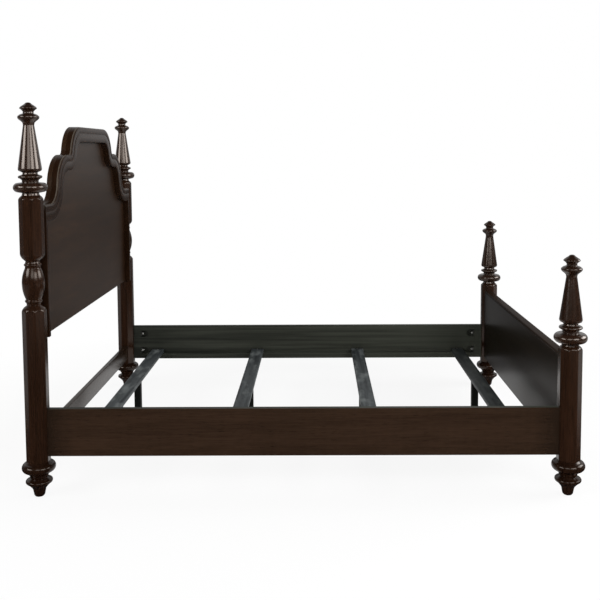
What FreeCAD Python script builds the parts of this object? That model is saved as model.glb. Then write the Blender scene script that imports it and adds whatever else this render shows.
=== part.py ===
import FreeCAD, Part
import math
import os
from FreeCAD import Vector

os.makedirs("parts", exist_ok=True)

# A four poster bed for a queen mattress. +X runs from the head to the foot, +Y from the left side
# to the right side as seen from the foot, +Z up. The origin is on the floor under the bed's middle.
# All lengths are millimetres.

# Mattress and the room left round it
mattress_length = 2032.0
mattress_width = 1524.0
end_room = 32.0
side_room = 14.0

# Octagonal post blocks, heights above the floor
post_width = 90.0
post_sides = 8
block_bottom_z = 148.0
lower_block_top_z = 763.0
upper_block_bottom_z = 1012.0
upper_block_top_z = 1216.0
foot_block_top_z = 597.0
shoulder_rise = 24.0
shoulder_top_radius = 35.0

# Turned middle of the head posts, between the two octagonal blocks
spindle_bottom_z = 795.0
spindle_top_z = 974.0
vase_radius = 44.6

# Turned finials, turned feet and the glides under the feet
finial_height = 372.0
finial_ring_radius = 67.0
turned_foot_radius = 70.0
glide_radius = 17.0
glide_thickness = 4.0

# Screws that hold the finials and the feet to the posts
finial_screw_radius = 4.0
finial_screw_length = 64.0
foot_bolt_radius = 5.0
foot_bolt_length = 84.0

# Headboard: veneered panel, arched moulding and end stiles on its front
headboard_bottom_z = 651.0
headboard_thickness = 22.0
headboard_back_setback = 7.0
moulding_proud = 29.0
moulding_width = 70.0
moulding_round = 9.5
moulding_rim = 28.5
quirk_width = 3.5
quirk_depth = 3.0
stile_width = 22.0
arch_top_z = 1528.5
arch_top_half_width = 215.0
upper_ledge_z = 1400.0
lower_ledge_z = 1198.0
lower_lobe_reach = 420.0
lobe_radius = 150.0
upper_cove_radius = 30.0
lower_cove_radius = 90.0

# Low stretcher between the head posts
stretcher_height = 86.0
stretcher_thickness = 22.0

# Footboard: plain board with a solid cap along its top
footboard_bottom_z = 180.0
footboard_top_z = 582.0
footboard_thickness = 38.0
footboard_inner_setback = 35.0
cap_height = 14.0
cap_ease = 4.0

# Tenons on the ends of the headboard, stretcher and footboard
tenon_thickness = 10.0
tenon_length = 24.0
tenon_edge = 20.0

# Side rails and the pockets for their bolts
rail_bottom_z = 172.0
rail_height = 196.0
rail_thickness = 28.0
rail_past_post_axis = 18.0
rail_ease = 2.5
rail_bolt_edge = 48.0
rail_bolt_radius = 4.0
rail_bolt_depth_in_post = 46.0
rail_bolt_from_inner_face = 12.5
pocket_from_post = 45.0
pocket_radius = 19.5
pocket_length = 43.0
pocket_depth = 22.0
washer_width = 18.0
washer_height = 30.0
washer_thickness = 3.0
nut_flat = 14.0
nut_thickness = 8.0
bolt_past_nut = 4.0

# Ledgers that carry the slats
ledger_height = 32.0
ledger_width = 25.0
ledger_lift = 4.0
ledger_past_slat = 32.0

# Slats, with two legs under each
slat_count = 4
slat_pitch_share = 0.2938
slat_width = 70.0
slat_thickness = 20.0
slat_end_gap = 4.0
slat_ease = 2.5
leg_width = 34.0
leg_offset = 210.0

# Screw-in levellers under the slat legs, shown screwed right in
leveller_foot_radius = 15.0
leveller_foot_height = 7.0
leveller_stud_radius = 4.0
leveller_stud_length = 34.0
leveller_top_gap = 0.3

# Countersunk screws
screw_radius = 2.2
screw_head_radius = 4.5
screw_head_height = 2.6
slat_screw_length = 38.0
leg_screw_length = 60.0

# Clearances and the overrun of cuts
bore_clearance = 0.2
running_clearance = 0.3
overrun = 2.0
touch_tolerance = 1e-6

# How finely things are faceted: the gap left under a curve's chords, and the sides of round pieces
curve_tolerance = 1.2
turning_sides = 18
bolt_sides = 6
screw_sides = 6
glide_sides = 16

# Turned outlines: height share, radius share, then the bulge of the curve up to that point as a
# share of its chord, outwards when positive
finial_shares = (
    (0.000, 0.520, 0.0),
    (0.024, 0.485, 0.0),
    (0.036, 0.797, 0.0),
    (0.134, 0.797, 0.37),
    (0.142, 0.482, 0.0),
    (0.164, 0.482, 0.0),
    (0.182, 0.608, 0.0),
    (0.214, 0.628, 0.45),
    (0.226, 0.450, 0.0),
    (0.244, 0.425, 0.0),
    (0.265, 0.655, 0.0),
    (0.284, 0.693, 0.0),
    (0.752, 0.323, 0.0),
    (0.819, 0.602, -0.08),
    (0.848, 0.616, 0.13),
    (0.879, 0.297, 0.0),
    (0.923, 0.455, 0.0),
    (0.947, 0.430, 0.22),
    (0.972, 0.220, 0.0),
    (1.000, 0.000, 0.0),
)
turned_foot_shares = (
    (0.000, 0.285, 0.0),
    (0.014, 0.303, 0.0),
    (0.190, 0.376, 0.0),
    (0.360, 0.690, -0.04),
    (0.455, 0.735, 0.27),
    (0.508, 0.470, 0.0),
    (0.690, 0.694, -0.06),
    (0.955, 0.740, 0.45),
    (1.000, 0.640, 0.0),
)
# The spindle's radii are shares of the vase's widest radius
spindle_shares = (
    (0.000, 0.633, 0.0),
    (0.059, 0.664, 0.0),
    (0.123, 0.709, 0.34),
    (0.135, 0.686, 0.0),
    (0.849, 0.697, 0.108),
    (0.890, 0.689, 0.0),
    (0.953, 0.672, 0.38),
    (1.000, 0.633, 0.0),
)
# Shoulders at a block's end: rise share and inward share, from the block's corner to the neck
shoulder_shares = ((0.0, 0.0, 0.0), (0.69, 0.46, 0.06), (1.0, 1.0, 0.0))

# Places worked out from the sizes above
corner_radius = post_width / 2 / math.cos(math.pi / post_sides)
blank_radius = corner_radius + overrun
spindle_neck_radius = vase_radius * spindle_shares[0][1]
headboard_front = headboard_thickness - headboard_back_setback
moulding_front = headboard_front + moulding_proud
inside_length = mattress_length + 2 * end_room
post_span = inside_length + moulding_front + footboard_inner_setback
head_x = -post_span / 2
foot_x = post_span / 2
rail_inner_y = mattress_width / 2 + side_room
rail_outer_y = rail_inner_y + rail_thickness
rail_half_length = post_span / 2 - post_width / 2
rail_top_z = rail_bottom_z + rail_height
post_y = rail_outer_y - rail_past_post_axis
panel_half_width = post_y - post_width / 2
panel_back_x = head_x - headboard_back_setback
panel_front_x = head_x + headboard_front
moulding_front_x = head_x + moulding_front
board_inner_x = foot_x - footboard_inner_setback
board_outer_x = board_inner_x + footboard_thickness
stretcher_top_z = rail_bottom_z + stretcher_height
cap_bottom_z = footboard_top_z - cap_height
inset_middle = moulding_width / 2
ledger_bottom_z = rail_bottom_z + ledger_lift
ledger_top_z = ledger_bottom_z + ledger_height
ledger_mid_y = rail_inner_y - ledger_width / 2
slat_top_z = ledger_top_z + slat_thickness
slat_half_length = rail_inner_y - slat_end_gap
slat_pitch = mattress_length * slat_pitch_share
slat_places = [slat_pitch * (i - (slat_count - 1) / 2) for i in range(slat_count)]
leg_bottom_z = leveller_foot_height + leveller_top_gap
foot_height = block_bottom_z - glide_thickness
bolt_y = rail_inner_y + rail_bolt_from_inner_face
bolt_heights = (rail_bottom_z + rail_bolt_edge, rail_top_z - rail_bolt_edge)
bolt_end_from_post = pocket_from_post + washer_thickness + nut_thickness + bolt_past_nut
tops = {"head": upper_block_top_z + shoulder_rise, "foot": foot_block_top_z + shoulder_rise}
sides = (("left", -1), ("right", 1))
ends = (("head", head_x, 1), ("foot", foot_x, -1))
along_x = Vector(1, 0, 0)
along_y = Vector(0, 1, 0)
up = Vector(0, 0, 1)
floor = Vector(0, 0, 0)


def export(name, shape):
    shape.exportStep("parts/%s.step" % name)


def moved(shape, x, y, z=0.0):
    copy = shape.copy()
    copy.translate(Vector(x, y, z))
    return copy


def box(x_range, y_range, z_range):
    """Box between the two ends of each range."""
    x0, x1 = sorted(x_range)
    y0, y1 = sorted(y_range)
    z0, z1 = sorted(z_range)
    return Part.makeBox(x1 - x0, y1 - y0, z1 - z0, Vector(x0, y0, z0))


def regular_outline(radius, count, centre, way):
    """Closed regular polygon round centre, square to way; radius reaches the middle of its sides."""
    turn = FreeCAD.Rotation(up, way)
    corner = radius / math.cos(math.pi / count)
    angles = [(2 * i + 1) * math.pi / count for i in range(count + 1)]
    spokes = [turn.multVec(Vector(corner * math.cos(a), corner * math.sin(a), 0)) for a in angles]
    return Part.makePolygon([centre + spoke for spoke in spokes])


def bar(radius, count, start, end):
    """Straight bar with a regular outline between two points."""
    way = end - start
    return Part.Face(regular_outline(radius, count, start, way)).extrude(way)


def chord_count(radius, angle):
    """Chords that keep an arc within the curve tolerance."""
    return math.ceil(angle / (2 * math.acos(1 - min(1, curve_tolerance / radius))))


def chord_points(start, end, bulge):
    """Points after start up to end, on an arc that stands out from its chord by bulge times it."""
    if not bulge:
        return [end]
    chord = end - start
    outward = Vector(chord.z, 0, -chord.x).normalize()
    half_angle = 2 * math.atan(2 * abs(bulge))
    count = chord_count(chord.Length / 2 / math.sin(half_angle), 2 * half_angle)
    arc = Part.Arc(start, (start + end) / 2 + outward * (bulge * chord.Length), end)
    first, last = arc.FirstParameter, arc.LastParameter
    return [arc.value(first + (last - first) * i / count) for i in range(1, count + 1)]


def arc_points(centre, radius, shown_radius, start, end):
    """Points (across, height) on an arc round centre; shown_radius sets how many."""
    count = chord_count(shown_radius, abs(end - start))
    angles = [start + (end - start) * i / count for i in range(count + 1)]
    return [(centre[0] + radius * math.cos(a), centre[1] + radius * math.sin(a)) for a in angles]


def skinned(rows, caps):
    """Solid of flat faces between rows of points, each as long as the next, closed by the caps."""
    faces = [Part.Face(Part.makePolygon(cap)) for cap in caps]
    for low, high in zip(rows, rows[1:]):
        for a, b, c, d in zip(low, low[1:], high[1:], high):
            corners = [a, b, c, d, a] if (c - d).Length > touch_tolerance else [a, b, c, a]
            faces.append(Part.Face(Part.makePolygon(corners)))
    shell = Part.makeShell(faces)
    shell.sewShape()
    solid = Part.makeSolid(shell)
    if solid.Volume < 0:
        solid.reverse()
    return solid


def turned(points):
    """Turned solid about Z through (radius, height, bulge) points, from bottom to top."""
    outline = [Vector(points[0][0], 0, points[0][1])]
    for radius, height, bulge in points[1:]:
        outline += chord_points(outline[-1], Vector(radius, 0, height), bulge)
    angles = [(2 * i + 1) * math.pi / turning_sides for i in range(turning_sides)]
    spokes = [Vector(math.cos(a), math.sin(a), 0) for a in angles]
    rings = [[spoke * p.x + up * p.z for spoke in spokes + spokes[:1]] for p in outline]
    return skinned(rings, [ring for ring, p in ((rings[0], outline[0]), (rings[-1], outline[-1])) if p.x > 0])


def turned_by_shares(shares, height, radius, base_z):
    return turned([(radius * r, base_z + height * h, bulge) for h, r, bulge in shares])


def eased(shape, size, axis):
    """Take the arris off the top edges that run along axis."""
    def along(edge):
        way = edge.Vertexes[-1].Point - edge.Vertexes[0].Point
        return abs(abs(way.dot(axis)) - edge.Length) < touch_tolerance

    middle_z = shape.CenterOfMass.z
    return shape.makeChamfer(size, [e for e in shape.Edges if along(e) and e.CenterOfMass.z > middle_z])


def shoulder_above(edge_z, neck_z, neck_radius):
    """Turned shoulder from the block's corners at edge_z in to the neck at neck_z, edge first."""
    rise = neck_z - edge_z
    inward = blank_radius - neck_radius
    return [(blank_radius - inward * s, edge_z + rise * h, bulge) for h, s, bulge in shoulder_shares]


def shoulder_below(edge_z, neck_z, neck_radius):
    """The same shoulder under a block, listed upwards from the neck."""
    points = shoulder_above(edge_z, neck_z, neck_radius)
    bulges = [0.0] + [bulge for radius, z, bulge in reversed(points[1:])]
    return [(radius, z, bulge) for (radius, z, own), bulge in zip(reversed(points), bulges)]


def block(bottom, top):
    """Octagonal block, flats square to X and Y, whose ends are turned to the outlines given."""
    blank = bar(post_width / 2, post_sides, up * bottom[0][1], up * top[-1][1])
    return blank.common(turned(bottom + top))


def head_post_blank():
    """Head post about Z: lower block, turned vase and upper block in one piece."""
    lower = block([(blank_radius, block_bottom_z, 0.0)],
                  shoulder_above(lower_block_top_z, spindle_bottom_z, spindle_neck_radius))
    upper = block(shoulder_below(upper_block_bottom_z, spindle_top_z, spindle_neck_radius),
                  shoulder_above(upper_block_top_z, tops["head"], shoulder_top_radius))
    spindle_height = spindle_top_z - spindle_bottom_z
    spindle = turned_by_shares(spindle_shares, spindle_height, vase_radius, spindle_bottom_z)
    return lower.fuse([spindle, upper]).removeSplitter()


def foot_post_blank():
    """Foot post about Z: one octagonal block with a turned shoulder."""
    return block([(blank_radius, block_bottom_z, 0.0)],
                 shoulder_above(foot_block_top_z, tops["foot"], shoulder_top_radius))


def tenon(place, side, clearance=0.0, overlap=0.0):
    """Tongue from a board's end into the post, or its mortise with a clearance."""
    x, bottom, top = place
    half = tenon_thickness / 2 + clearance
    tip = panel_half_width + tenon_length + clearance
    return box((x - half, x + half), (side * (panel_half_width - overlap), side * tip),
               (bottom - clearance, top + clearance))


def with_tenons(board, places):
    return board.fuse([tenon(place, side) for place in places for name, side in sides]).removeSplitter()


def rail_bolt(x, inward, side, z, clearance=0.0):
    """Hanger bolt from inside the post, through the rail's end and into the pocket."""
    face = x + inward * post_width / 2
    start = face - inward * (rail_bolt_depth_in_post + clearance)
    end = face + inward * bolt_end_from_post
    y = side * bolt_y
    return bar(rail_bolt_radius + clearance, bolt_sides, Vector(start, y, z), Vector(end, y, z))


def pocket(x, inward, side, z):
    """D-shaped pocket from a rail's inner face: flat towards the post, half round on the other end."""
    wall_x = x + inward * (post_width / 2 + pocket_from_post)
    centre_x = wall_x + inward * (pocket_length - pocket_radius)
    y = side * (rail_inner_y - overrun)
    half_round = arc_points((0.0, z), pocket_radius, pocket_radius, -math.pi / 2, math.pi / 2)
    outline = [Vector(centre_x + inward * reach, y, height) for reach, height in half_round]
    outline += [Vector(wall_x, y, z + pocket_radius), Vector(wall_x, y, z - pocket_radius)]
    face = Part.Face(Part.makePolygon(outline + outline[:1]))
    return face.extrude(along_y * (side * (pocket_depth + overrun)))


def countersunk(length, clearance=0.0):
    """Screw down from zero with a cone head; with a clearance, its hole, open above the head."""
    shank = screw_radius + clearance
    rim = screw_head_radius + clearance
    neck = up * -screw_head_height
    cone = Part.makeLoft([regular_outline(shank, screw_sides, neck, up),
                          regular_outline(rim, screw_sides, floor, up)], True, True)
    pieces = [bar(shank, screw_sides, up * (-length - clearance), neck)]
    if clearance:
        pieces.append(bar(rim, screw_sides, floor, up * overrun))
    return cone.fuse(pieces).removeSplitter()


def arch_line(inset, x):
    """Points of the arch from the left end to the right in the plane at x, moved in by inset.

    Each side has the level top, a round lobe, a small cove, a ledge, a second lobe, a wide cove and
    the lower ledge, all tangent, so an inset only changes the radii.
    """
    half = []
    # each step as (half width of its level top, top height, cove radius, ledge height)
    steps = ((arch_top_half_width, arch_top_z, upper_cove_radius, upper_ledge_z),
             (lower_lobe_reach, upper_ledge_z, lower_cove_radius, lower_ledge_z))
    for reach, top_z, cove_radius, ledge_z in steps:
        lobe_z = top_z - lobe_radius
        cove_z = ledge_z + cove_radius
        slope = math.asin((cove_z - lobe_z) / (lobe_radius + cove_radius))
        cove_y = reach + (lobe_radius + cove_radius) * math.cos(slope)
        half += arc_points((reach, lobe_z), lobe_radius - inset, lobe_radius, math.pi / 2, slope)
        half += arc_points((cove_y, cove_z), cove_radius + inset, cove_radius + inset_middle,
                           math.pi + slope, math.pi * 3 / 2)[1:]
    half.append((panel_half_width, lower_ledge_z - inset))
    left = [(-y, z) for y, z in reversed(half)]
    return [Vector(x, y, z) for y, z in left + half]


def moulded(section):
    """Moulding that follows the arch, with a section of (inset, x) points."""
    rows = [arch_line(inset, x) for inset, x in section + section[:1]]
    return skinned(rows, [[row[0] for row in rows], [row[-1] for row in rows]])


# Tenon places as middle in X, bottom and top
head_tenon_x = (panel_back_x + panel_front_x) / 2
foot_tenon_x = board_outer_x - tenon_thickness
headboard_tenons = ((head_tenon_x, headboard_bottom_z + tenon_edge, lower_block_top_z - tenon_edge),
                    (head_tenon_x, upper_block_bottom_z + tenon_edge, lower_ledge_z - tenon_edge))
stretcher_tenons = ((head_tenon_x, rail_bottom_z + tenon_edge, stretcher_top_z - tenon_edge),)
footboard_tenons = ((foot_tenon_x, footboard_bottom_z + tenon_edge, cap_bottom_z - tenon_edge),)

# Posts, with mortises and with holes for the rail bolts, foot bolts and finial screws
blanks = {"head": head_post_blank(), "foot": foot_post_blank()}
tenons_of_end = {"head": headboard_tenons + stretcher_tenons, "foot": footboard_tenons}
half_bolt = up * (foot_bolt_length / 2)
half_screw = up * (finial_screw_length / 2)
end_gap = up * bore_clearance
past = up * overrun
foot_bolts = []
finial_screws = []
rail_bolts = []
for end, x, inward in ends:
    for side_name, side in sides:
        y = side * post_y
        low = Vector(x, y, block_bottom_z)
        high = Vector(x, y, tops[end])
        bolt_hole = foot_bolt_radius + bore_clearance
        screw_hole = finial_screw_radius + bore_clearance
        holes = [bar(bolt_hole, bolt_sides, low - past, low + half_bolt + end_gap),
                 bar(screw_hole, bolt_sides, high - half_screw - end_gap, high + past)]
        holes += [tenon(place, side, bore_clearance, overrun) for place in tenons_of_end[end]]
        holes += [rail_bolt(x, inward, side, z, bore_clearance) for z in bolt_heights]
        export("%s_post_%s" % (end, side_name), moved(blanks[end], x, y).cut(holes))
        foot_bolts.append(bar(foot_bolt_radius, bolt_sides, low - half_bolt, low + half_bolt))
        finial_screws.append(bar(finial_screw_radius, bolt_sides, high - half_screw, high + half_screw))
        rail_bolts += [rail_bolt(x, inward, side, z) for z in bolt_heights]
export("foot_hanger_bolts", Part.makeCompound(foot_bolts))
export("finial_screws", Part.makeCompound(finial_screws))
export("rail_bolts", Part.makeCompound(rail_bolts))

# Turned finials, one on each post
for end, x, inward in ends:
    finial = turned_by_shares(finial_shares, finial_height, finial_ring_radius, tops[end])
    seat = up * tops[end]
    hole = bar(finial_screw_radius + bore_clearance, bolt_sides, seat - past, seat + half_screw + end_gap)
    for side_name, side in sides:
        export("%s_finial_%s" % (end, side_name), moved(finial.cut(hole), x, side * post_y))

# Turned feet and the glides under them
turned_foot = turned_by_shares(turned_foot_shares, foot_height, turned_foot_radius, glide_thickness)
seat = up * block_bottom_z
hole = bar(foot_bolt_radius + bore_clearance, bolt_sides, seat - half_bolt - end_gap, seat + past)
glide = bar(glide_radius, glide_sides, floor, up * glide_thickness)
glides = []
for end, x, inward in ends:
    for side_name, side in sides:
        export("%s_turned_foot_%s" % (end, side_name), moved(turned_foot.cut(hole), x, side * post_y))
        glides.append(moved(glide, x, side * post_y))
export("foot_glides", Part.makeCompound(glides))

# Headboard panel, tenoned between the head posts and just clear of their vases
outline = arch_line(0.0, panel_back_x)
outline += [Vector(panel_back_x, y, headboard_bottom_z) for y in (panel_half_width, -panel_half_width)]
panel = Part.Face(Part.makePolygon(outline + outline[:1])).extrude(along_x * headboard_thickness)
export("headboard_panel", with_tenons(panel, headboard_tenons))

# Arched moulding on the panel's front: a rim with a rounded edge, a small quirk and a flat fascia
quirk_x = moulding_front_x - quirk_depth
quirk_end = moulding_rim + quirk_width
nose_count = chord_count(moulding_round, math.pi / 2)
nose_angles = [math.pi / 2 * i / nose_count for i in range(nose_count + 1)]
nose_x = moulding_front_x - moulding_round
nose = [(moulding_round * (1 - math.cos(a)), nose_x + moulding_round * math.sin(a)) for a in nose_angles]
rim = [(moulding_rim, moulding_front_x), (moulding_rim, quirk_x)]
fascia = [(quirk_end, quirk_x), (quirk_end, moulding_front_x), (moulding_width, moulding_front_x)]
section = [(0.0, panel_front_x)] + nose + rim + fascia + [(moulding_width, panel_front_x)]
export("headboard_arch_moulding", moulded(section))

# End stiles on the panel's front, under the moulding's two ends
stile_top_z = lower_ledge_z - moulding_width
for side_name, side in sides:
    outer = side * panel_half_width
    export("headboard_stile_%s" % side_name,
           box((panel_front_x, moulding_front_x), (outer, outer - side * stile_width),
               (headboard_bottom_z, stile_top_z)))

# Stretcher between the head posts, level with the rails' bottom
board_y = (-panel_half_width, panel_half_width)
stretcher = box((panel_back_x, panel_back_x + stretcher_thickness), board_y, (rail_bottom_z, stretcher_top_z))
stretcher = eased(stretcher, rail_ease, along_y)
export("head_stretcher", with_tenons(stretcher, stretcher_tenons))

# Footboard: board tenoned between the foot posts, and a solid cap glued along its top
board_x = (board_inner_x, board_outer_x)
board = box(board_x, board_y, (footboard_bottom_z, cap_bottom_z))
export("footboard_panel", with_tenons(board, footboard_tenons))
cap = box(board_x, board_y, (cap_bottom_z, footboard_top_z))
export("footboard_cap", eased(cap, cap_ease, along_y))

# Side rails with pockets on their inner faces, and the ledgers glued inside them
ledger_half_length = slat_places[-1] + slat_width / 2 + ledger_past_slat
slat_screw_hole = countersunk(slat_screw_length, bore_clearance)
for side_name, side in sides:
    rail = box((-rail_half_length, rail_half_length), (side * rail_inner_y, side * rail_outer_y),
               (rail_bottom_z, rail_top_z))
    rail = eased(rail, rail_ease, along_x)
    for end, x, inward in ends:
        for z in bolt_heights:
            rail = rail.cut([pocket(x, inward, side, z), rail_bolt(x, inward, side, z, bore_clearance)])
    export("side_rail_%s" % side_name, rail)
    ledger = box((-ledger_half_length, ledger_half_length),
                 (side * rail_inner_y, side * (rail_inner_y - ledger_width)), (ledger_bottom_z, ledger_top_z))
    holes = [moved(slat_screw_hole, x, side * ledger_mid_y, slat_top_z) for x in slat_places]
    export("slat_ledger_%s" % side_name, ledger.cut(holes))

# Plate washers and nuts against the flat walls of the rails' pockets
washers = []
nuts = []
for end, x, inward in ends:
    wall_x = x + inward * (post_width / 2 + pocket_from_post)
    washer_x = wall_x + inward * washer_thickness
    nut_x = washer_x + inward * nut_thickness
    for side_name, side in sides:
        y = side * bolt_y
        for z in bolt_heights:
            hole = rail_bolt(x, inward, side, z, bore_clearance)
            plate = box((wall_x, washer_x), (y - washer_width / 2, y + washer_width / 2),
                        (z - washer_height / 2, z + washer_height / 2))
            nut = bar(nut_flat / 2, screw_sides, Vector(washer_x, y, z), Vector(nut_x, y, z))
            washers.append(plate.cut(hole))
            nuts.append(nut.cut(hole))
export("rail_washers", Part.makeCompound(washers))
export("rail_nuts", Part.makeCompound(nuts))

# Slats, screwed to the ledgers, with two legs under each and a leveller in each leg
slat_screw = countersunk(slat_screw_length)
leg_screw = countersunk(leg_screw_length)
leg_screw_hole = countersunk(leg_screw_length, bore_clearance)
stud_hole_top = leg_bottom_z + leveller_stud_length
stud_top = stud_hole_top - running_clearance
stud_hole = bar(leveller_stud_radius + running_clearance, bolt_sides, floor, up * stud_hole_top)
stud = bar(leveller_stud_radius, bolt_sides, floor, up * stud_top)
leveller_foot = bar(leveller_foot_radius, glide_sides, floor, up * leveller_foot_height)
leveller = leveller_foot.fuse(stud).removeSplitter()
slat_screws = []
leg_screws = []
for number, x in enumerate(slat_places, start=1):
    slat = box((x - slat_width / 2, x + slat_width / 2), (-slat_half_length, slat_half_length),
               (ledger_top_z, slat_top_z))
    slat = eased(slat, slat_ease, along_y)
    holes = []
    for side_name, side in sides:
        end_y = side * ledger_mid_y
        leg_y = side * leg_offset
        leg_hole = moved(leg_screw_hole, x, leg_y, slat_top_z)
        holes += [moved(slat_screw_hole, x, end_y, slat_top_z), leg_hole]
        slat_screws.append(moved(slat_screw, x, end_y, slat_top_z))
        leg_screws.append(moved(leg_screw, x, leg_y, slat_top_z))
        leg = box((x - leg_width / 2, x + leg_width / 2), (leg_y - leg_width / 2, leg_y + leg_width / 2),
                  (leg_bottom_z, ledger_top_z))
        export("slat_leg_%d_%s" % (number, side_name), leg.cut([leg_hole, moved(stud_hole, x, leg_y)]))
        export("leg_leveller_%d_%s" % (number, side_name), moved(leveller, x, leg_y))
    export("slat_%d" % number, slat.cut(holes))
export("slat_screws", Part.makeCompound(slat_screws))
export("leg_screws", Part.makeCompound(leg_screws))
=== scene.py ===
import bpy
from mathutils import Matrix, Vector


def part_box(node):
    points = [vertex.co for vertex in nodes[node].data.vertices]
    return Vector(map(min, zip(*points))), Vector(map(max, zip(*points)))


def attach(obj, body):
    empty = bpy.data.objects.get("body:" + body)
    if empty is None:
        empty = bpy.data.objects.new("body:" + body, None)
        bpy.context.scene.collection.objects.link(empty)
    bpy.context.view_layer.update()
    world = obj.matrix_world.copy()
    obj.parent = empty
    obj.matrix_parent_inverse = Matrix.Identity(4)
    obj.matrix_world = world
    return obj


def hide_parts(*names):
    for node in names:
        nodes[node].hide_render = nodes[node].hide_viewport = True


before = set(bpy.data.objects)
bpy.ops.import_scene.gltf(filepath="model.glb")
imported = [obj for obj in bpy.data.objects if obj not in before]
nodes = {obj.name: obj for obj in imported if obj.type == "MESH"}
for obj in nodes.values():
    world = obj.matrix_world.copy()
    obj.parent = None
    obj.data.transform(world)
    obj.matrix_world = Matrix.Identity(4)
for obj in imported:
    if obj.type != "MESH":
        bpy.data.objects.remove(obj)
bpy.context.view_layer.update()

import math
import bpy
import numpy as np
from mathutils import Matrix

bed = "bed_frame"
ends = ("head", "foot")
sides = ("left", "right")

# Turned feet: beech blanks turned to a ring, a smaller ring and a tapered ankle, stained espresso
# and lacquered. A hanger bolt in the top of each screws it up under its post.
foot_shares = (
    (0.000, 0.285, 0.0),
    (0.014, 0.303, 0.0),
    (0.190, 0.376, 0.0),
    (0.360, 0.690, -0.04),
    (0.455, 0.735, 0.27),
    (0.508, 0.470, 0.0),
    (0.690, 0.694, -0.06),
    (0.955, 0.740, 0.45),
    (1.000, 0.640, 0.0),
)
foot_radius = 0.070
sanding = 0.0012
turned_columns = 72
arc_points = 80
least_bulge = 1e-5
outline_step = 0.00025
turn_per_point = 0.11
run_per_point = 0.02
x_axis, y_axis, z_axis = range(3)


def outline_between(shares, bottom, top, radius):
    """Outline points between two heights, from shares of that height and of the radius."""
    return [(bottom + (top - bottom) * h, radius * r, bulge) for h, r, bulge in shares]


def turned_outline(points, softness):
    """Outline of a turned piece: radii and heights through (height, radius, bulge) points.

    Each stretch is an arc that stands out from its chord by bulge times the chord. The line is then
    averaged over the softness, as sanding rounds every arris, and its points are spread by how far
    the line turns, with a few more on the straight runs.
    """
    points = np.asarray(points, float)
    start, end = points[:-1, 1::-1], points[1:, 1::-1]
    bulge = points[1:, 2]
    half_turn = 2 * np.arctan(2 * np.where(bulge == 0, least_bulge, bulge))[:, None]
    swing = half_turn * np.linspace(-1, 1, arc_points)
    along = 0.5 + 0.5 * np.sin(swing) / np.sin(half_turn)
    out = (np.cos(swing) - np.cos(half_turn)) / (2 * np.sin(half_turn))
    chord = end - start
    outward = np.stack([chord[:, 1], -chord[:, 0]], axis=-1)
    line = start[:, None] + along[..., None] * chord[:, None] + out[..., None] * outward[:, None]
    line = line.reshape(-1, 2)

    run = np.concatenate([[0], np.cumsum(np.linalg.norm(np.diff(line, axis=0), axis=1))])
    even = np.linspace(0, run[-1], int(run[-1] / outline_step))
    line = np.stack([np.interp(even, run, line[:, k]) for k in (0, 1)], axis=-1)
    reach = max(1, int(softness / outline_step))
    wide = np.pad(line, ((reach, reach), (0, 0)), mode="reflect", reflect_type="odd")
    window = np.hanning(2 * reach + 3)[1:-1]
    window = window / window.sum()
    line = np.stack([np.convolve(wide[:, k], window, "valid") for k in (0, 1)], axis=-1)

    way = np.diff(line, axis=0)
    heading = np.unwrap(np.arctan2(way[:, 1], way[:, 0]))
    turning = np.abs(np.diff(heading, prepend=heading[0]))
    share = turning / turn_per_point + outline_step / run_per_point
    worth = np.concatenate([[0], np.cumsum(share)])
    spread = np.linspace(0, worth[-1], int(worth[-1]) + 2)
    return [np.interp(spread, worth, line[:, k]) for k in (0, 1)]


def turned_rows(radii, heights, place, angles=None):
    """Loops of a turned piece: each height's radius carried round an upright axis through place."""
    if angles is None:
        angles = np.linspace(0, 2 * np.pi, turned_columns, endpoint=False)
    radii = np.reshape(radii, (len(heights), -1))
    x = place[0] + radii * np.cos(angles)
    y = place[1] + radii * np.sin(angles)
    return np.stack(np.broadcast_arrays(x, y, np.asarray(heights)[:, None]), axis=-1)


def skinned(name, solids, material, replaced, body=bed, crease=38.0):
    """One piece of one or more closed skins.

    A skin is an array of loops: quads join each loop to the next, and one flat face closes each
    end. Loops run anticlockwise seen from the end of the row, so that the faces point outwards.
    """
    points, faces, first = [], [], 0
    for rows in solids:
        loops, count = rows.shape[:2]
        index = first + np.arange(loops * count).reshape(loops, count)
        beside = np.roll(index, -1, axis=1)
        quads = np.stack([index[:-1], beside[:-1], beside[1:], index[1:]], axis=-1)
        faces += quads.reshape(-1, 4).tolist()
        faces += [index[0, ::-1].tolist(), index[-1].tolist()]
        points.append(rows.reshape(-1, 3))
        first += loops * count
    mesh = bpy.data.meshes.new(name)
    mesh.from_pydata(np.concatenate(points).tolist(), [], faces)
    mesh.shade_smooth()
    mesh.set_sharp_from_angle(angle=math.radians(crease))
    mesh.materials.append(material)
    piece = bpy.data.objects.new(name, mesh)
    bpy.context.collection.objects.link(piece)
    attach(piece, body)
    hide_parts(*replaced)
    return piece


def wired(tree, kind, inputs=None, **settings):
    """A shader node of that kind, with its settings and with a value or an output on each input."""
    node = tree.nodes.new("ShaderNode" + kind)
    for key, value in settings.items():
        setattr(node, key, value)
    for key, value in (inputs or {}).items():
        if isinstance(value, bpy.types.NodeSocket):
            tree.links.new(value, node.inputs[key])
        else:
            node.inputs[key].default_value = value
    return node


def blended(tree, share, low, high):
    """Colour between low and high."""
    node = wired(tree, "Mix", data_type="RGBA")
    for key, value in (("Factor_Float", share), ("A_Color", low), ("B_Color", high)):
        socket = next(s for s in node.inputs if s.identifier == key)
        if isinstance(value, bpy.types.NodeSocket):
            tree.links.new(value, socket)
        else:
            socket.default_value = value
    return next(s for s in node.outputs if s.identifier == "Result_Color")


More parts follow.
